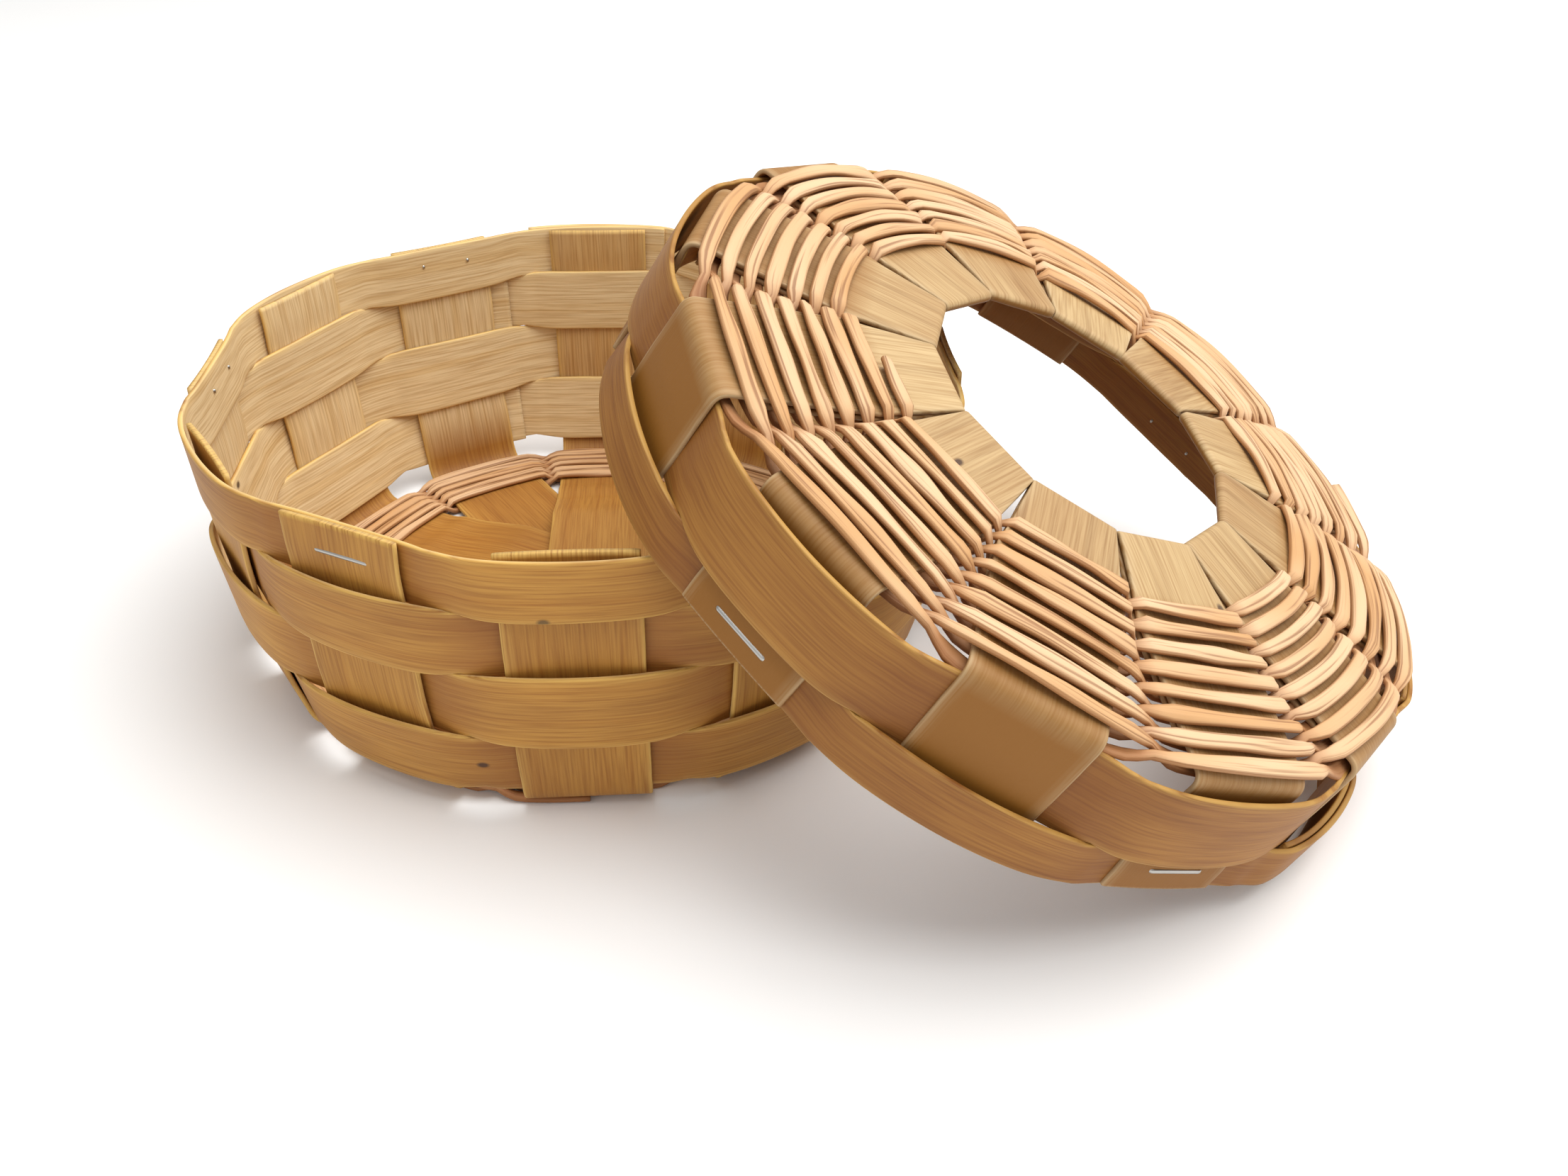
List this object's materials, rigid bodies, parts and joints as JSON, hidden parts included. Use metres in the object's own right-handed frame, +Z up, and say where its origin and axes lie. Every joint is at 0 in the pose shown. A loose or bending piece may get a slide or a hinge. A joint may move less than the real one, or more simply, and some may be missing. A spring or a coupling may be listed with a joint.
{
  "type": "cheese mold",
  "caption": "Round basket woven from wide wood splint, with a ring-shaped splint and reed lid leaning on its rim; drains and shapes soft cheese.",
  "frame": {"origin": "middle of the basket's foot, on the ground", "axes": "+Z up along the basket's axis; the lid leans towards +X"},
  "size_m": [0.2534, 0.1968, 0.1039],
  "materials": {
    "basket_splint": "bare split veneer, lightly planed",
    "lid_splint": "bare split veneer, lightly planed",
    "reed": "bare half-round reed",
    "staple_wire": "drawn wire"
  },
  "bodies": {
    "basket": {"base_strip_1": "basket_splint", "base_strip_2": "basket_splint", "base_strip_3": "basket_splint", "base_strip_4": "basket_splint", "base_strip_5": "basket_splint", "base_strip_6": "basket_splint", "floor_reed_1": "reed", "floor_reed_2": "reed", "wall_band_lower": "basket_splint", "wall_band_middle": "basket_splint", "wall_band_upper": "basket_splint", "rim_band": "basket_splint", "rim_staples": "staple_wire"},
    "lid": {"lid_strip_1": "lid_splint", "lid_strip_2": "lid_splint", "lid_strip_3": "lid_splint", "lid_strip_4": "lid_splint", "lid_strip_5": "lid_splint", "lid_strip_6": "lid_splint", "lid_strip_7": "lid_splint", "lid_strip_8": "lid_splint", "lid_strip_9": "lid_splint", "lid_strip_10": "lid_splint", "lid_strip_11": "lid_splint", "lid_strip_12": "lid_splint", "lid_reed_1": "reed", "lid_reed_2": "reed", "lid_band": "lid_splint", "lid_rim_band": "lid_splint", "lid_staples": "staple_wire"}
  },
  "joints": [
    {"name": "lid_lift", "type": "slide", "parent": "basket", "child": "lid", "axis": [0.4483, -0.1543, 0.8805], "range_m": [0, 0.12]}
  ]
}
